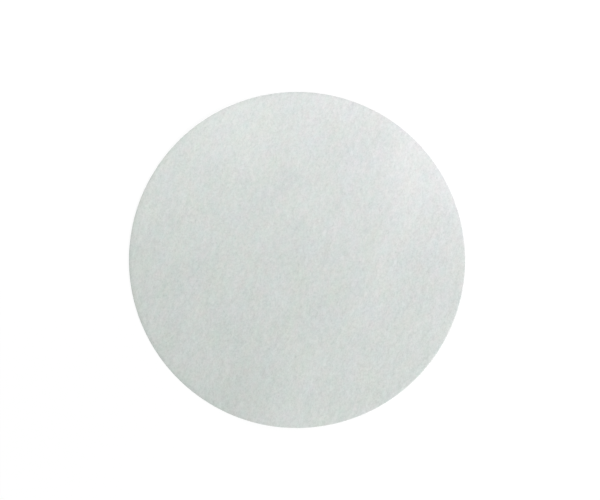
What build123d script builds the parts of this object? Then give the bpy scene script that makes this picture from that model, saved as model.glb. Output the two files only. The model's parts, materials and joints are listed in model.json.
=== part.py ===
from build123d import *
import os

# A disc of laboratory filter paper: one sheet, cut out with a round die.
# It lies flat on its lower face. The origin is the centre of that face and +Z points up.
# All lengths are in millimetres.

# The sheet
disc_diameter = 90.0
paper_thickness = 0.18

# The cut edge. The die enters from above: it presses the rim of the upper face down
# in a shallow shoulder, and leaves the lower edge slightly rounded.
shoulder_width = 1.2
shoulder_drop = 0.04
lower_edge_radius = 0.03

disc_radius = disc_diameter / 2
shoulder_start = disc_radius - shoulder_width
cut_top = paper_thickness - shoulder_drop

with BuildPart() as filter_paper:
    with BuildSketch(Plane.XZ) as half_section:
        with BuildLine():
            lower_face = Line((0, 0), (disc_radius - lower_edge_radius, 0))
            lower_edge = TangentArc(lower_face @ 1, (disc_radius, lower_edge_radius), tangent=(1, 0))
            cut_face = Line(lower_edge @ 1, (disc_radius, cut_top))
            shoulder = TangentArc((shoulder_start, paper_thickness), cut_face @ 1, tangent=(1, 0))
            upper_face = Line(shoulder @ 0, (0, paper_thickness))
            Line(upper_face @ 1, lower_face @ 0)
        make_face()
    revolve(axis=Axis.Z, revolution_arc=360)
filter_paper.part.label = "filter_paper"

os.makedirs("parts", exist_ok=True)
export_step(filter_paper.part, "parts/filter_paper.step")
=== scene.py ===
"""A disc of laboratory filter paper, lying flat on a white bench and seen from straight above."""

import json
import math

import bmesh
import bpy
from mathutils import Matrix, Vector, noise


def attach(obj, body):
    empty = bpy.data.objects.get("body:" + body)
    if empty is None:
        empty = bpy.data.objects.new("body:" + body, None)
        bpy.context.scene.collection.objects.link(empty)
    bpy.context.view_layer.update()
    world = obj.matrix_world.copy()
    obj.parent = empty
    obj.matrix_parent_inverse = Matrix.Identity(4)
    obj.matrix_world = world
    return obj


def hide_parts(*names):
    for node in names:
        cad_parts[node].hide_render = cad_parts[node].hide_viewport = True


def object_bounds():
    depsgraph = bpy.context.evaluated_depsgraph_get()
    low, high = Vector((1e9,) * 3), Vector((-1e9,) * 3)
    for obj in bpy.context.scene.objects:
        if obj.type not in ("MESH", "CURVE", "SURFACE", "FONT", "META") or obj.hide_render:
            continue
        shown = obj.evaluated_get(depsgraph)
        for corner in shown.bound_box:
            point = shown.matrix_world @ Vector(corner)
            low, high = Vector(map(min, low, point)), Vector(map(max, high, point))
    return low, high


bl_info = {
    "name": "Filter paper disc",
    "version": (1, 0, 0),
    "blender": (4, 5, 0),
    "location": "View3D > Sidebar > Filter paper",
    "description": "Makes a disc of filter paper and the bench and lamps it is seen with",
    "category": "Object",
}

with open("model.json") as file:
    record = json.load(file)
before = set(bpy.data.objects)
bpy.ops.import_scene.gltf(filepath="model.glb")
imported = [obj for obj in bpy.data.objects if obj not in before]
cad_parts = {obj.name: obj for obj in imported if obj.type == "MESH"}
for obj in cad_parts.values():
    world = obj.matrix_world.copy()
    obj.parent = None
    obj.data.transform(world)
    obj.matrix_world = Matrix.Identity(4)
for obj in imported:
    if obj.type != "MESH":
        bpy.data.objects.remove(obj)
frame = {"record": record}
CAD_LOW, CAD_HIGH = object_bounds()
PAPER_NODE = "filter_paper"

MM = 0.001
RIM = next(m for m in frame["record"]["mounts"] if m["name"] == "rim")
DIAMETER = 2 * RIM["dims"]["r_mm"] * MM
THICKNESS = CAD_HIGH.z - CAD_LOW.z

# How many rings of the mesh lie on the pressed shoulder, how fast they get narrower towards the
# rim, and how many loops divide the cut face
SHOULDER_RINGS = 4
RING_CROWDING = 1.25
CUT_LOOPS = 3

# The least turn, in radians, of an edge of the cut that gets a round
SHARP_TURN = 1.0

# A face is part of the upper or lower side where its unit normal rises or falls by more than this
LEVEL = 0.9

# The sheet's material slots, in the order in which they are filled
FELT_SLOT, WIRE_SLOT, CUT_SLOT = range(3)

# Where the sheet has lifted a little off the bench: direction and distance of the middle
# from the disc's centre, how high, how far it spreads towards the centre and along the rim
LIFTS = (
    # degrees, mm, mm, mm, mm
    (47.0, 40.0, 0.30, 11.0, 7.0),
    (-10.0, 47.0, 0.30, 8.0, 8.0),
    (259.0, 38.0, 0.30, 10.0, 8.0),
    (122.0, 40.0, 0.28, 8.0, 7.0),
    (345.0, 16.0, 0.16, 8.0, 10.0),
    (85.0, 18.0, 0.19, 8.0, 9.0),
)

# Soft noise makes the cockle, the clumps of fibres, smaller clumps and the fine grain. Each has
# its own start in the noise. The last number is how much deeper in it one unit of start lies
COCKLE_START = 4.3
FLOC_START = 11.7
SMALL_FLOC_START = 23.1
GRAIN_START = 37.9
START_DEPTH = 0.37

# How far the smaller clumps and the fine grain are turned from the direction of most fibres
SMALL_FLOC_TURN = 0.5
GRAIN_TURN = -0.3

# How much longer the cockle is along the grain than across, and how long and how high a smaller
# clump is in shares of a clump
COCKLE_STRETCH = 1.3
SMALL_FLOC_LENGTH = 0.62
SMALL_FLOC_HEIGHT = 0.6

# How far off in the noise the lower side's relief starts, and the finish of the wire side and
# the layers in the cut
LOWER_START = 60.0
WIRE_START = 17.0
LAYERS_START = 3.0

# The ends of fibres in the cut face: how far in from the rim they reach, how high one is, how
# far the whole face is set in, and two sizes of them. Of each size: how many lie along one
# radius of the rim, where its rows start in the noise, and how strong it is
FRAY_DEPTH = 0.1 * MM
FRAY_ROW = 0.09 * MM
FRAY_INSET = 0.8
FRAY_NOISES = ((90.0, 0.0, 1.0), (47.0, 9.0, 0.6))

# Directions in which fibres cross: degrees from the grain, how strongly each shows, and the
# length and width of its fibres in millimetres
FIBRE_WAYS = (
    (-4.0, 1.0, 2.10, 0.46),
    (31.0, 0.9, 1.95, 0.44),
    (-38.0, 0.9, 1.80, 0.42),
    (66.0, 0.8, 1.65, 0.40),
    (-77.0, 0.8, 1.50, 0.38),
)

# How far apart in the noise these directions lie, how sharply a fibre stands out, and the average
# of all the fibres together
WAYS_APART = (3.7, 5.1)
FIBRE_SHARPNESS = 5.0
WEB_MEAN = 0.42

# The clouds of tone and tint, and the layers of fibres in the cut. Of each: its length along the
# grain and its width, its place in the noise, how many times finer noise is added, how strongly
DRIFT = (11.0 * MM, 8.0 * MM, 9.7, 1.0, 0.5)
PULP = (0.88 * MM, 0.70 * MM, 7.9, 1.0, 0.6)
PATCHES = (3.7 * MM, 3.0 * MM, 11.3, 2.5, 0.7)
WASH = (8.5 * MM, 7.0 * MM, 33.1, 3.0, 0.65)
LAYERS = (0.35 * MM, 0.35 * MM, 1.0, 2.0, 0.6)

# What a tint adds to red, green and blue, and how much more a thicker place leans to pink, together with
# the pulp's painted light and shade
PINK = (1.0, -0.4, 0.0)
BLUE = (0.0, -0.15, 0.85)
PINK_WHERE_THICK = 1.8

# How high fibres, pulp, twill and layers stand in a finish, in shares of the fibre relief, and
# how much rougher a fibre is than a pore
WEB_HEIGHT = 0.8
PULP_HEIGHT = 0.8
TWILL_HEIGHT = 0.5
LAYER_HEIGHT = 0.4
FIBRE_ROUGHNESS = 0.08

# The twill of the forming mesh: from one wire to the next, the turn of its ribs from the grain
# each way, and how uneven they are
WIRE_SPACING = 0.42 * MM
TWILL_TURN = math.radians(45.0)
TWILL_WOBBLE = 0.6

# How many ribs a wave of scale 1 makes
RIBS_IN_A_WAVE = 20.0 / (2.0 * math.pi)

# The weave of the fabric that dried the sheet, whose knuckles have marked the felt side: the
# direction in which its ribs and its rows follow one another, and the spacing of each
FABRIC_RIBS = (math.radians(-14.0), 2.79 * MM)
FABRIC_ROWS = (math.radians(81.9), 8.57 * MM)

# A repeat of the weave is one rib wide and one row long. Where each of its knuckles lies, in
# ribs and rows from the disc's centre, and how strongly it shows
KNUCKLES = ((-0.10, 0.00, 1.0), (0.17, 0.30, 1.0), (-0.25, 0.50, 0.8))

# A knuckle is pinched across and along by raising the soft waves of its rib and its row to
# these powers. The mean of a rib that is pinched so keeps the mark from lightening the sheet
RIB_PINCH = 3
ROW_PINCH = 4
RIB_MEAN = math.comb(2 * RIB_PINCH, RIB_PINCH) / 4**RIB_PINCH

# A flat picture of the sheet for baking: middle and radius of each side's disc on it, in
# shares of the picture, and how many times the height of the cut face is drawn out round them
BAKE_MAP = "OFBake"
FELT_SPOT = (0.338, 0.325)
WIRE_SPOT = (0.749, 0.239)
CUT_STRETCH = 8.0

# The bench: from its middle to its sides, and how far it lies under the sheet. Its own white
# goes from the first share to the second between these distances from the middle
BENCH_REACH = 4.0
BENCH_GAP = 0.01 * MM
GLOW_DISTANCES = (0.045, 0.35)
GLOW_SHARES = (0.9, 0.968)

BLACK = (0.0, 0.0, 0.0, 1.0)
WHITE = (1.0, 1.0, 1.0, 1.0)
CENTRE = Vector((0.0, 0.0, 0.0))


class PaperSizes(bpy.types.PropertyGroup):
    """Sizes of the sheet and of its relief"""

    diameter: bpy.props.FloatProperty(
        name="Diameter",
        description="Across the disc",
        default=DIAMETER,
        min=0.01,
        unit="LENGTH",
    )
    thickness: bpy.props.FloatProperty(
        name="Thickness",
        description="Of the sheet, away from its rim",
        default=THICKNESS,
        min=0.00005,
        precision=5,
        unit="LENGTH",
    )
    cells: bpy.props.IntProperty(
        name="Cells across",
        description="How many cells of the mesh lie side by side across a face",
        default=206,
        min=20,
    )
    shoulder_width: bpy.props.FloatProperty(
        name="Shoulder width",
        description="How far in from the rim the die has pressed the upper face down",
        default=1.2 * MM,
        min=0.00001,
        precision=5,
        unit="LENGTH",
    )
    shoulder_drop: bpy.props.FloatProperty(
        name="Shoulder drop",
        description="How far down the upper face is pressed at the rim",
        default=0.04 * MM,
        precision=5,
        unit="LENGTH",
    )
    edge_radius: bpy.props.FloatProperty(
        name="Edge radius",
        description="Of the small rounds along the cut",
        default=0.022 * MM,
        precision=6,
        unit="LENGTH",
    )
    edge_fray: bpy.props.FloatProperty(
        name="Edge fray",
        description="How far fibres in the cut face stand in and out",
        default=0.012 * MM,
        precision=6,
        unit="LENGTH",
    )
    cockle_height: bpy.props.FloatProperty(
        name="Cockle height",
        description="Of the slow waves that the sheet has all over",
        default=0.02 * MM,
        precision=6,
        unit="LENGTH",
    )
    cockle_length: bpy.props.FloatProperty(
        name="Cockle length",
        description="Of the slow waves that the sheet has all over",
        default=17.0 * MM,
        min=0.0001,
        precision=4,
        unit="LENGTH",
    )
    floc_height: bpy.props.FloatProperty(
        name="Floc height",
        description="How far a clump of fibres stands out of the face",
        default=0.02 * MM,
        precision=6,
        unit="LENGTH",
    )
    floc_length: bpy.props.FloatProperty(
        name="Floc length",
        description="Across one clump of fibres",
        default=2.6 * MM,
        min=0.0001,
        precision=4,
        unit="LENGTH",
    )
    grain_height: bpy.props.FloatProperty(
        name="Grain height",
        description="Of the fine grain between clumps",
        default=0.010 * MM,
        precision=6,
        unit="LENGTH",
    )
    grain_length: bpy.props.FloatProperty(
        name="Grain length",
        description="Across one bump of the fine grain",
        default=1.25 * MM,
        min=0.0001,
        precision=4,
        unit="LENGTH",
    )
    fabric_relief: bpy.props.FloatProperty(
        name="Fabric relief",
        description="How far the print of a knuckle of the drying fabric stands out of the face",
        default=0.002 * MM,
        precision=6,
        unit="LENGTH",
    )
    grain_angle: bpy.props.FloatProperty(
        name="Grain direction",
        description="The way most fibres lie, from the X axis towards the Y axis",
        default=math.radians(67.0),
        subtype="ANGLE",
    )
    grain_stretch: bpy.props.FloatProperty(
        name="Grain stretch",
        description="How much longer clumps and grain are along the fibres than across",
        default=1.35,
        min=1.0,
    )


class PaperColours(bpy.types.PropertyGroup):
    """Colours of the paper and of its small variations"""

    paper: bpy.props.FloatVectorProperty(
        name="Paper",
        description="The undyed pulp",
        default=(0.663, 0.689, 0.677),
        size=3,
        min=0.0,
        max=1.0,
        subtype="COLOR",
    )
    drift_tone: bpy.props.FloatProperty(
        name="Drift tone",
        description="How much the pulp's tone drifts from one part of the sheet to another",
        default=0.09,
        min=0.0,
        max=1.0,
        subtype="FACTOR",
    )
    # Partly painted light and shade: the knuckle prints are lightened and the ground beside them
    # darkened in colour, as their relief would be lit, besides their own lighter tone
    fabric_tone: bpy.props.FloatProperty(
        name="Fabric tone",
        description="How much lighter the print of a knuckle of the drying fabric is than the paper",
        default=0.034,
        min=0.0,
        max=1.0,
        subtype="FACTOR",
    )
    # Partly painted shade: the pores in the pulp are darkened in colour where its relief dips, besides
    # the pulp's own uneven tone
    pulp_tone: bpy.props.FloatProperty(
        name="Pulp tone",
        description="How much lighter the fine pulp is than the pores in it",
        default=0.153,
        min=0.0,
        max=1.0,
        subtype="FACTOR",
    )
    # Partly painted light and shade: fibres are lightened and the pores between them darkened in colour,
    # following the relief, besides the fibres' own lighter tone
    fibre_tone: bpy.props.FloatProperty(
        name="Fibre tone",
        description="How much lighter a fibre is than the paper round it",
        default=0.252,
        min=0.0,
        max=1.0,
        subtype="FACTOR",
    )
    # Painted shade: the pressed rim is made darker in colour, adding to the shade that the shoulder's
    # real shape gets
    rim_tone: bpy.props.FloatProperty(
        name="Rim tone",
        description="How much greyer the pressed rim is than the rest",
        default=0.035,
        min=0.0,
        max=1.0,
        subtype="FACTOR",
    )
    pink_tint: bpy.props.FloatProperty(
        name="Pink tint",
        description="How far patches of the pulp lean to pink or to green",
        default=0.064,
        min=0.0,
        max=1.0,
        subtype="FACTOR",
    )
    blue_tint: bpy.props.FloatProperty(
        name="Blue tint",
        description="How far wider patches lean to blue or to straw",
        default=0.066,
        min=0.0,
        max=1.0,
        subtype="FACTOR",
    )
    roughness: bpy.props.FloatProperty(
        name="Roughness",
        description="Of the fibrous surface",
        default=0.88,
        min=0.0,
        max=1.0,
        subtype="FACTOR",
    )
    fibre_relief: bpy.props.FloatProperty(
        name="Fibre relief",
        description="How far single fibres stand out of the face",
        default=0.012 * MM,
        precision=6,
        unit="LENGTH",
    )


class StageSettings(bpy.types.PropertyGroup):
    """The camera, the lamps and the bench"""

    scale: bpy.props.FloatProperty(
        name="Picture width",
        description="How wide a view the picture takes in at the sheet's upper face",
        default=160.64 * MM,
        unit="LENGTH",
    )
    aim: bpy.props.FloatVectorProperty(
        name="Aim",
        description="The point of the bench in the middle of the picture",
        default=(0.797 * MM, 2.677 * MM),
        size=2,
        unit="LENGTH",
    )
    lens: bpy.props.FloatProperty(
        name="Lens",
        description="Focal length in millimetres",
        default=100.0,
        unit="CAMERA",
    )
    room_light: bpy.props.FloatProperty(
        name="Room light",
        description="Even light from all round",
        default=0.262,
        min=0.0,
        max=1.0,
        subtype="FACTOR",
    )
    room_tint: bpy.props.FloatVectorProperty(
        name="Room tint",
        description="Of the even light, which is a little greener than the lamps",
        default=(0.86, 1.0, 0.90),
        size=3,
        min=0.0,
        max=1.0,
        subtype="COLOR",
    )
    lamp_tint: bpy.props.FloatVectorProperty(
        name="Lamp tint",
        description="Of the key and fill lamps",
        default=(1.0, 0.98, 0.985),
        size=3,
        min=0.0,
        max=1.0,
        subtype="COLOR",
    )
    kick_tint: bpy.props.FloatVectorProperty(
        name="Kicker tint",
        description="Of the small lamp",
        default=(1.0, 0.84, 1.0),
        size=3,
        min=0.0,
        max=1.0,
        subtype="COLOR",
    )
    key_share: bpy.props.FloatProperty(
        name="Key share",
        description="The key lamp's share of the light at the disc's centre",
        default=0.440,
        min=0.0,
        max=1.0,
        subtype="FACTOR",
    )
    key_angles: bpy.props.FloatVectorProperty(
        name="Key direction",
        description="Angle from the X axis, and height above the bench",
        default=(math.radians(-39.8), math.radians(18.0)),
        size=2,
        unit="ROTATION",
    )
    key_distance: bpy.props.FloatProperty(
        name="Key distance",
        description="From the disc's centre",
        default=0.538,
        unit="LENGTH",
    )
    fill_share: bpy.props.FloatProperty(
        name="Fill share",
        description="The fill lamp's share of the light at the disc's centre",
        default=0.202,
        min=0.0,
        max=1.0,
        subtype="FACTOR",
    )
    fill_angles: bpy.props.FloatVectorProperty(
        name="Fill direction",
        description="Angle from the X axis, and height above the bench",
        default=(math.radians(119.6), math.radians(20.2)),
        size=2,
        unit="ROTATION",
    )
    fill_distance: bpy.props.FloatProperty(
        name="Fill distance",
        description="From the disc's centre",
        default=0.172,
        unit="LENGTH",
    )
    kick_share: bpy.props.FloatProperty(
        name="Kicker share",
        description="The small lamp's share of the light at the disc's centre",
        default=0.076,
        min=0.0,
        max=1.0,
        subtype="FACTOR",
    )
    kick_angles: bpy.props.FloatVectorProperty(
        name="Kicker direction",
        description="Angle from the X axis, and height above the bench",
        default=(math.radians(40.1), math.radians(20.0)),
        size=2,
        unit="ROTATION",
    )
    kick_distance: bpy.props.FloatProperty(
        name="Kicker distance",
        description="From the disc's centre",
        default=0.105,
        unit="LENGTH",
    )
    lamp_size: bpy.props.FloatProperty(
        name="Lamp size",
        description="Across the key and fill lamps",
        default=0.08,
        unit="LENGTH",
    )
    kick_size: bpy.props.FloatProperty(
        name="Kicker size",
        description="Across the small lamp",
        default=0.03,
        unit="LENGTH",
    )
    bench_white: bpy.props.FloatProperty(
        name="Bench",
        description="How much light the bench sends back",
        default=0.12,
        min=0.0,
        max=1.0,
        subtype="FACTOR",
    )


class Wire:
    """The output of a shader node. Arithmetic on wires adds Math nodes."""

    def __init__(self, graph, socket):
        self.graph = graph
        self.socket = socket

    def maths(self, operation, *values):
        return self.graph.node("ShaderNodeMath", {"operation": operation}, *values)

    def __add__(self, other):
        return self.maths("ADD", self, other)

    def __radd__(self, other):
        return self.maths("ADD", other, self)

    def __sub__(self, other):
        return self.maths("SUBTRACT", self, other)

    def __rsub__(self, other):
        return self.maths("SUBTRACT", other, self)

    def __mul__(self, other):
        return self.maths("MULTIPLY", self, other)

    def __rmul__(self, other):
        return self.maths("MULTIPLY", other, self)

    def __pow__(self, other):
        return self.maths("POWER", self, other)

    def __rpow__(self, other):
        return self.maths("POWER", other, self)

    def __abs__(self):
        return self.maths("ABSOLUTE", self)

    def at_least(self, other):
        return self.maths("MAXIMUM", self, other)


class Graph:
    """A node tree being wired up."""

    def __init__(self, tree):
        self.tree = tree
        tree.nodes.clear()

    def node(self, kind, settings=None, *values, out=0, **named):
        """Adds a node with its settings, and the values or wires of its sockets."""
        made = self.tree.nodes.new(kind)
        for name, value in (settings or {}).items():
            setattr(made, name, value)
        for key, value in [*enumerate(values), *named.items()]:
            name = key.replace("_", " ") if isinstance(key, str) else key
            self.join(value, made.inputs[name])
        return Wire(self, made.outputs[out]) if made.outputs else made

    def join(self, value, socket):
        if isinstance(value, Wire):
            self.tree.links.new(value.socket, socket)
        else:
            socket.default_value = value

    def blend(self, factor, first, second):
        """Colour first where factor is 0 and second where it is 1."""
        made = self.tree.nodes.new("ShaderNodeMix")
        made.data_type = "RGBA"
        self.join(factor, made.inputs["Factor"])
        colours = [s for s in made.inputs if s.type == "RGBA"]
        self.join(first, colours[0])
        self.join(second, colours[1])
        return Wire(self, next(s for s in made.outputs if s.type == "RGBA"))

    def place(self):
        return self.node("ShaderNodeTexCoord", out="Object")

    def along(self, angle, length, width, shift=(0.0, 0.0)):
        """Object coordinates turned so that X runs at an angle, counted in lengths by widths."""
        return self.node(
            "ShaderNodeMapping",
            {"vector_type": "TEXTURE"},
            self.place(),
            (shift[0] * length, shift[1] * width, 0.0),
            (0.0, 0.0, angle),
            (length, width, width),
        )

    def distance(self, vector):
        """How far a point is from the origin."""
        return self.node("ShaderNodeVectorMath", {"operation": "LENGTH"}, vector, out="Value")

    def product(self, first, second):
        """Two vectors or colours times each other, part by part."""
        return self.node("ShaderNodeVectorMath", {"operation": "MULTIPLY"}, first, second)

    def cloud(self, vector, detail, roughness, distortion=0.0):
        """Soft noise from 0 to 1 that is 0.5 on average."""
        return self.node(
            "ShaderNodeTexNoise",
            {"noise_dimensions": "3D", "normalize": True},
            Vector=vector,
            Scale=1.0,
            Detail=detail,
            Roughness=roughness,
            Distortion=distortion,
        )

    def fibres(self, vector):
        """Lines along X that are 1 on the fibre and 0 away from it."""
        wander = self.cloud(vector, detail=1.0, roughness=0.6, distortion=0.35)
        return (1.0 - abs(wander - 0.5) * FIBRE_SHARPNESS).at_least(0.0)

    def ribs(self, angle, spacing, crest=0.5, wobble=0.0):
        """Soft ribs from 0 to 1, side by side along an angle. One crest is that many spacings out."""
        return self.node(
            "ShaderNodeTexWave",
            {"wave_type": "BANDS", "bands_direction": "X", "wave_profile": "SIN"},
            Vector=self.along(angle, spacing, spacing),
            Scale=1.0 / RIBS_IN_A_WAVE,
            Distortion=wobble,
            Detail=1.0,
            Detail_Scale=0.4,
            Phase_Offset=2.0 * math.pi * (0.5 - crest),
            out=1,
        )

    def seen_itself(self):
        """1 where a surface is seen, also in a mirror or through glass, and 0 where it lights others."""
        rays = [
            self.node("ShaderNodeLightPath", out=name)
            for name in ("Is Camera Ray", "Is Glossy Ray", "Is Transmission Ray")
        ]
        return rays[0].at_least(rays[1]).at_least(rays[2])


def fibre_web(graph, grain, start):
    """Crossing fibres, from 0 in a pore to 1 where a fibre of every direction lies."""
    total = sum(strength for _, strength, _, _ in FIBRE_WAYS)
    web = 0.0
    for n, (turn, strength, length, width) in enumerate(FIBRE_WAYS):
        place = graph.along(
            grain + math.radians(turn),
            length * MM,
            width * MM,
            (start + WAYS_APART[0] * n, WAYS_APART[1] * n - start),
        )
        web += graph.fibres(place) * (strength / total)
    return web


def mottling(graph, angle, start, length, width, place, detail, roughness):
    """One of the clouds of tone or tint, or the layers in the cut."""
    return graph.cloud(graph.along(angle, length, width, (start, place)), detail, roughness)


def pressed_rim(graph, sizes):
    """0 over the face, and up to 1 where the die pressed the rim: where the rim's painted shade goes."""
    flat = graph.product(graph.place(), (1.0, 1.0, 0.0))
    return graph.node(
        "ShaderNodeMapRange",
        {"interpolation_type": "SMOOTHSTEP"},
        graph.distance(flat),
        From_Min=sizes.diameter / 2 - sizes.shoulder_width,
        From_Max=sizes.diameter / 2,
    )


def painted_fabric_shading(graph):
    """The drying fabric's mark as a tone: the knuckle prints' light and shade painted into the colour,
    with their own lighter tone, in the shape that fabric_print gives as a height.
    """
    mark = 0.0
    for across, along, strength in KNUCKLES:
        rib = graph.ribs(*FABRIC_RIBS, across) ** RIB_PINCH
        row = graph.ribs(*FABRIC_ROWS, along) ** ROW_PINCH
        mark += (rib - RIB_MEAN) * row * strength
    return mark


def leaning(tint, lean):
    """White that leans to a tint, or away from it where lean is below 0."""
    return (*(1.0 + lean * part for part in tint), 1.0)


def paper_surface(name, colours, sizes, wire_side=False, cut=False):
    """The fibrous finish of one side of the sheet, or of its cut edge."""
    material = bpy.data.materials.new(name)
    material.use_nodes = True
    graph = Graph(material.node_tree)
    grain = sizes.grain_angle
    start = WIRE_START if wire_side else 0.0

    web = fibre_web(graph, grain, start)
    drift = mottling(graph, grain, start, *DRIFT)
    pulp = mottling(graph, grain, start, *PULP)
    patches = mottling(graph, grain, start, *PATCHES)
    wash = mottling(graph, grain, start, *WASH)

    # The pulp and the fibres are lighter where their relief stands up and darker in its pores: painted
    # light and shade, together with the paper's own uneven tone
    thickness_and_pore_shade = (drift - 0.5) * colours.drift_tone + (pulp - 0.5) * colours.pulp_tone
    tone = 1.0 + thickness_and_pore_shade + (web - WEB_MEAN) * colours.fibre_tone
    # Painted shade along the pressed rim, on top of the shade of the shoulder's real shape
    tone -= pressed_rim(graph, sizes) * colours.rim_tone
    # The knuckle prints' painted light and shade on the felt side, together with their own lighter tone
    if not (wire_side or cut):
        tone += painted_fabric_shading(graph) * colours.fabric_tone

    green = leaning(PINK, -colours.pink_tint)
    pink = leaning(PINK, colours.pink_tint)
    hue = graph.blend(patches + thickness_and_pore_shade * PINK_WHERE_THICK, green, pink)
    blue = leaning(BLUE, colours.blue_tint)
    straw = leaning(BLUE, -colours.blue_tint)
    stain = graph.product(hue, graph.blend(wash, blue, straw))
    stained = graph.product(stain, tuple(colours.paper))
    colour = graph.node("ShaderNodeVectorMath", {"operation": "SCALE"}, stained, Scale=tone)

    height = WEB_HEIGHT * web + PULP_HEIGHT * pulp
    if wire_side:
        # The forming wire leaves a faint twill of small dents
        warp = graph.ribs(grain + TWILL_TURN, WIRE_SPACING, wobble=TWILL_WOBBLE)
        weft = graph.ribs(grain - TWILL_TURN, WIRE_SPACING, wobble=TWILL_WOBBLE)
        height += TWILL_HEIGHT * warp * weft
    if cut:
        # Fibres lie in thin layers, which the cut shows as fine lines along the rim
        height += LAYER_HEIGHT * mottling(graph, 0.0, LAYERS_START, *LAYERS)
    bump = graph.node(
        "ShaderNodeBump",
        None,
        Strength=1.0,
        Distance=colours.fibre_relief,
        Height=height,
    )
    shader = graph.node(
        "ShaderNodeBsdfPrincipled",
        None,
        Base_Color=colour,
        Roughness=colours.roughness + (web - 0.5) * FIBRE_ROUGHNESS,
        Specular_IOR_Level=0.25,
        Normal=bump,
    )
    graph.node("ShaderNodeOutputMaterial", None, shader)
    return material


def to_disc(x, y):
    """Takes the square from -1 to 1 to the unit disc, and gives the point's ring, from 0 to 1."""
    if x == 0.0 and y == 0.0:
        return 0.0, 0.0, 0.0
    if abs(x) > abs(y):
        ring = x
        turn = math.pi / 4 * (y / x)
    else:
        ring = y
        turn = math.pi / 2 - math.pi / 4 * (x / y)
    return math.cos(turn) * ring, math.sin(turn) * ring, abs(ring)


def ring_radius(share, sizes):
    """Where a ring lies: even over the face, and closer together on the shoulder."""
    start = sizes.diameter / 2 - sizes.shoulder_width
    rim_share = 1.0 - 2 * SHOULDER_RINGS / sizes.cells
    if share <= rim_share:
        return start * share / rim_share
    t = (share - rim_share) / (1.0 - rim_share)
    return start + sizes.shoulder_width * (1.0 - (1.0 - t) ** RING_CROWDING)


def rippled(x, y, start, length, angle, stretch):
    """Soft noise from -1 to 1 at a point, stretched along an angle. Its start picks its place."""
    along = (x * math.cos(angle) + y * math.sin(angle)) / (length * stretch)
    across = (y * math.cos(angle) - x * math.sin(angle)) / length
    return noise.noise(Vector((along + start, across - start, start * START_DEPTH)))


def rib_height(x, y, angle, spacing, crest):
    """The height from 0 to 1 of the ribs that Graph.ribs draws, at a point."""
    out = (x * math.cos(angle) + y * math.sin(angle)) / spacing
    return 0.5 + 0.5 * math.cos(2.0 * math.pi * (out - crest))


def fabric_print(x, y):
    """The drying fabric's mark at a point: up to 1 on a knuckle, below 0 beside it, 0 on average."""
    mark = 0.0
    for across, along, strength in KNUCKLES:
        rib = rib_height(x, y, *FABRIC_RIBS, across) ** RIB_PINCH
        row = rib_height(x, y, *FABRIC_ROWS, along) ** ROW_PINCH
        mark += (rib - RIB_MEAN) * row * strength
    return mark


def sheet_lift(x, y, sizes):
    """How far the whole sheet stands off the bench at a point."""
    height = 0.0
    for degrees, middle, lift, inward, sideways in LIFTS:
        a = math.radians(degrees)
        out = (x * math.cos(a) + y * math.sin(a)) / MM - middle
        side = (y * math.cos(a) - x * math.sin(a)) / MM
        height += lift * MM * math.exp(-0.5 * ((out / inward) ** 2 + (side / sideways) ** 2))
    slow = rippled(x, y, COCKLE_START, sizes.cockle_length, sizes.grain_angle, COCKLE_STRETCH)
    return height + sizes.cockle_height * slow


def face_relief(x, y, sizes, start):
    """How far flocs and grain stand out of a face at a point."""
    grain = sizes.grain_angle
    stretch = sizes.grain_stretch
    small = sizes.floc_length * SMALL_FLOC_LENGTH
    floc = rippled(x, y, start + FLOC_START, sizes.floc_length, grain, stretch)
    small_floc = rippled(x, y, start + SMALL_FLOC_START, small, grain + SMALL_FLOC_TURN, stretch)
    fine = rippled(x, y, start + GRAIN_START, sizes.grain_length, grain + GRAIN_TURN, stretch)
    relief = sizes.floc_height * (floc + SMALL_FLOC_HEIGHT * small_floc)
    return relief + sizes.grain_height * fine


def cut_fray(x, y, z, sizes):
    """How far out fibres in the cut face move it at a point: mostly below 0, which is inwards."""
    way = math.atan2(y, x)
    fray = 0.0
    for ends, start, strength in FRAY_NOISES:
        row = z / FRAY_ROW + start
        fray += strength * noise.noise(Vector((math.cos(way) * ends, math.sin(way) * ends, row)))
    return sizes.edge_fray * (fray - FRAY_INSET)


def formed(x, y, z, sizes):
    """Where a point of the flat sheet lies once it is pressed, rough, frayed and cockled."""
    high = min(1.0, max(0.0, z / sizes.thickness))
    out = math.hypot(x, y)
    rim = sizes.diameter / 2
    shoulder = max(0.0, (out - (rim - sizes.shoulder_width)) / sizes.shoulder_width)
    z -= sizes.shoulder_drop * high * min(1.0, shoulder) ** 2
    z += (face_relief(x, y, sizes, 0.0) + sizes.fabric_relief * fabric_print(x, y)) * high
    z += face_relief(x, y, sizes, LOWER_START) * (1.0 - high)
    if out > rim - FRAY_DEPTH:
        reach = 1.0 + cut_fray(x, y, z, sizes) / out
        x *= reach
        y *= reach
    return x, y, z + sheet_lift(x, y, sizes)


def put_in_order(elements, place):
    """Orders points, edges or faces by their place, so that every run gives the same mesh."""
    rank = {element: n for n, element in enumerate(sorted(elements, key=place))}
    elements.sort(key=rank.get)


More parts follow.
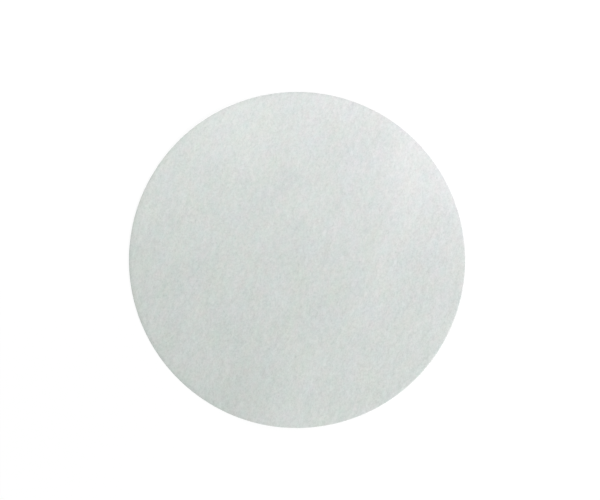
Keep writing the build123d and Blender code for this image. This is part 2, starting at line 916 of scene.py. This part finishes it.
def flat_sheet(sizes):
    """A smooth flat sheet with its cut face, which stands on its lower side."""
    # The lower face starts as a square grid, pulled round into a disc
    shape = bmesh.new()
    bmesh.ops.create_grid(shape, x_segments=sizes.cells, y_segments=sizes.cells, size=1.0)
    for vert in shape.verts:
        x, y, share = to_disc(vert.co.x, vert.co.y)
        reach = ring_radius(share, sizes) / share if share else 0.0
        vert.co = Vector((x, y, 0.0)) * reach

    # Raised by the thickness, it becomes the sheet
    raised = bmesh.ops.extrude_face_region(shape, geom=shape.faces[:], use_keep_orig=True)
    top_verts = [g for g in raised["geom"] if isinstance(g, bmesh.types.BMVert)]
    bmesh.ops.translate(shape, verts=top_verts, vec=(0.0, 0.0, sizes.thickness))
    bmesh.ops.recalc_face_normals(shape, faces=shape.faces[:])

    # The cut face gets rows of its own, and both its edges a small round
    half = sizes.thickness / 2
    upright = [e for e in shape.edges if abs(e.verts[0].co.z - e.verts[1].co.z) > half]
    bmesh.ops.subdivide_edges(shape, edges=upright, cuts=CUT_LOOPS)
    rims = [e for e in shape.edges if e.calc_face_angle(0.0) > SHARP_TURN]
    bmesh.ops.bevel(
        shape,
        geom=rims,
        offset=sizes.edge_radius,
        offset_type="OFFSET",
        segments=2,
        profile=0.5,
        affect="EDGES",
        material=-1,
        clamp_overlap=True,
    )

    # The bevel adds its faces in an order that varies
    put_in_order(shape.verts, lambda vert: tuple(vert.co))
    put_in_order(shape.edges, lambda edge: tuple(edge.verts[0].co + edge.verts[1].co))
    put_in_order(shape.faces, lambda face: tuple(face.calc_center_median()))

    for face in shape.faces:
        face.smooth = True
        up = face.normal.z
        face.material_index = FELT_SLOT if up > LEVEL else WIRE_SLOT if up < -LEVEL else CUT_SLOT
    return shape


def lay_out_map(shape, sizes):
    """Gives the flat sheet a map: each side is a disc, inside a ring that is half the cut face."""
    layer = shape.loops.layers.uv.new(BAKE_MAP)
    for face in shape.faces:
        up = face.calc_center_median().z > sizes.thickness / 2
        middle, reach = FELT_SPOT if up else WIRE_SPOT
        for loop in face.loops:
            x, y, z = loop.vert.co
            out = math.hypot(x, y)
            down = sizes.thickness - z if up else z
            grow = reach / (sizes.diameter / 2)
            if out:
                grow *= (out + down * CUT_STRETCH) / out
            loop[layer].uv = (middle + x * grow, middle + y * grow * (1.0 if up else -1.0))


class FILTERPAPER_OT_sheet(bpy.types.Operator):
    """Make the sheet of paper with its cockle, relief and cut edge"""

    bl_idname = "filter_paper.make_sheet"
    bl_label = "Make the sheet"

    def execute(self, context):
        sizes = context.scene.filter_paper_sizes
        colours = context.scene.filter_paper_colours

        shape = flat_sheet(sizes)
        lay_out_map(shape, sizes)
        for vert in shape.verts:
            vert.co = formed(*vert.co, sizes)
        lowest = min(vert.co.z for vert in shape.verts)
        bmesh.ops.translate(shape, verts=shape.verts[:], vec=(0.0, 0.0, -lowest))

        mesh = bpy.data.meshes.new("paper_sheet")
        shape.to_mesh(mesh)
        shape.free()
        sheet = bpy.data.objects.new("paper_sheet", mesh)
        context.scene.collection.objects.link(sheet)
        mesh.materials.append(paper_surface("paper felt side", colours, sizes))
        mesh.materials.append(paper_surface("paper wire side", colours, sizes, wire_side=True))
        mesh.materials.append(paper_surface("paper cut edge", colours, sizes, cut=True))
        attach(sheet, "root")
        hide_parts(PAPER_NODE)
        return {"FINISHED"}


def bench_surface(stage):
    """A dull bench that looks white and yet throws little light on the sheet."""
    material = bpy.data.materials.new("white bench")
    material.use_nodes = True
    graph = Graph(material.node_tree)
    # The lamps are near, so the bench gets darker away from them and needs more of its own white
    away = graph.node(
        "ShaderNodeMapRange",
        {"interpolation_type": "LINEAR"},
        graph.distance(graph.place()),
        From_Min=GLOW_DISTANCES[0],
        From_Max=GLOW_DISTANCES[1],
        To_Min=GLOW_SHARES[0],
        To_Max=GLOW_SHARES[1],
    )
    shader = graph.node(
        "ShaderNodeBsdfPrincipled",
        None,
        Base_Color=(stage.bench_white,) * 3 + (1.0,),
        Roughness=0.9,
        Specular_IOR_Level=0.1,
        Emission_Color=graph.blend(graph.seen_itself() * away, BLACK, WHITE),
        Emission_Strength=1.0,
    )
    graph.node("ShaderNodeOutputMaterial", None, shader)
    return material


def lay_bench(scene, stage):
    """The bench, just under the sheet."""
    shape = bmesh.new()
    bmesh.ops.create_grid(shape, x_segments=1, y_segments=1, size=BENCH_REACH)
    bmesh.ops.translate(shape, verts=shape.verts[:], vec=(0.0, 0.0, -BENCH_GAP))
    mesh = bpy.data.meshes.new("bench")
    shape.to_mesh(mesh)
    shape.free()
    mesh.materials.append(bench_surface(stage))
    bench = bpy.data.objects.new("bench", mesh)
    scene.collection.objects.link(bench)


def light_room(scene, stage):
    """Even light from all round, and a white backdrop behind the bench."""
    world = bpy.data.worlds.new("room")
    world.use_nodes = True
    graph = Graph(world.node_tree)
    room = graph.node(
        "ShaderNodeBackground", None, Color=(*stage.room_tint, 1.0), Strength=stage.room_light
    )
    backdrop = graph.node("ShaderNodeBackground", None, Color=WHITE, Strength=1.0)
    mixed = graph.node("ShaderNodeMixShader", None, graph.seen_itself(), room, backdrop)
    graph.node("ShaderNodeOutputWorld", None, mixed)
    scene.world = world


def soft_lamp(scene, name, angles, distance, share, size, tint):
    """A square lamp aimed at the disc's centre, of which it gives a share of the light."""
    around, above = angles
    flat = math.cos(above)
    way = Vector((flat * math.cos(around), flat * math.sin(around), math.sin(above)))
    place = way * distance
    lamp = bpy.data.lights.new(name, "AREA")
    lamp.shape = "SQUARE"
    lamp.size = size
    lamp.color = tint
    # At this power, white paper in the middle would look as bright as the share says
    lamp.energy = share * math.pi**2 * distance**2 / math.sin(above)
    holder = bpy.data.objects.new(name, lamp)
    holder.location = place
    holder.rotation_euler = (CENTRE - place).to_track_quat("-Z", "Y").to_euler()
    holder.visible_camera = False
    scene.collection.objects.link(holder)


def hang_camera(scene, stage):
    """A camera that looks straight down and takes in the picture's width at the sheet's top."""
    lens = bpy.data.cameras.new("camera")
    lens.lens = stage.lens
    lens.sensor_width = 36.0
    lens.clip_start = 0.01
    lens.clip_end = 20.0
    camera = bpy.data.objects.new("camera", lens)
    away = stage.scale * stage.lens / lens.sensor_width
    camera.location = (stage.aim[0], stage.aim[1], THICKNESS + away)
    scene.collection.objects.link(camera)
    scene.camera = camera


class FILTERPAPER_OT_stage(bpy.types.Operator):
    """Set out the white bench, the lamps, the room light and the camera"""

    bl_idname = "filter_paper.make_stage"
    bl_label = "Make the stage"

    def execute(self, context):
        scene = context.scene
        stage = scene.filter_paper_stage
        lay_bench(scene, stage)
        light_room(scene, stage)

        size = stage.lamp_size
        tint = stage.lamp_tint
        soft_lamp(scene, "key", stage.key_angles, stage.key_distance, stage.key_share, size, tint)
        soft_lamp(scene, "fill", stage.fill_angles, stage.fill_distance, stage.fill_share, size, tint)
        size = stage.kick_size
        tint = stage.kick_tint
        soft_lamp(scene, "kicker", stage.kick_angles, stage.kick_distance, stage.kick_share, size, tint)

        hang_camera(scene, stage)
        scene.view_settings.view_transform = "Standard"
        return {"FINISHED"}


class FILTERPAPER_PT_panel(bpy.types.Panel):
    """Lists the steps and their settings"""

    bl_idname = "FILTERPAPER_PT_panel"
    bl_label = "Filter paper"
    bl_space_type = "VIEW_3D"
    bl_region_type = "UI"
    bl_category = "Filter paper"

    def draw(self, context):
        layout = self.layout
        for settings, operator in (
            (context.scene.filter_paper_sizes, "filter_paper.make_sheet"),
            (context.scene.filter_paper_colours, None),
            (context.scene.filter_paper_stage, "filter_paper.make_stage"),
        ):
            column = layout.column(align=True)
            for name in settings.__annotations__:
                column.prop(settings, name)
            if operator:
                column.operator(operator)


CLASSES = (
    PaperSizes,
    PaperColours,
    StageSettings,
    FILTERPAPER_OT_sheet,
    FILTERPAPER_OT_stage,
    FILTERPAPER_PT_panel,
)


def register():
    for kind in CLASSES:
        bpy.utils.register_class(kind)
    scene = bpy.types.Scene
    scene.filter_paper_sizes = bpy.props.PointerProperty(type=PaperSizes)
    scene.filter_paper_colours = bpy.props.PointerProperty(type=PaperColours)
    scene.filter_paper_stage = bpy.props.PointerProperty(type=StageSettings)


def unregister():
    scene = bpy.types.Scene
    del scene.filter_paper_stage
    del scene.filter_paper_colours
    del scene.filter_paper_sizes
    for kind in reversed(CLASSES):
        bpy.utils.unregister_class(kind)


def main():
    register()
    bpy.ops.filter_paper.make_sheet()
    bpy.ops.filter_paper.make_stage()


if __name__ == "__main__":
    main()
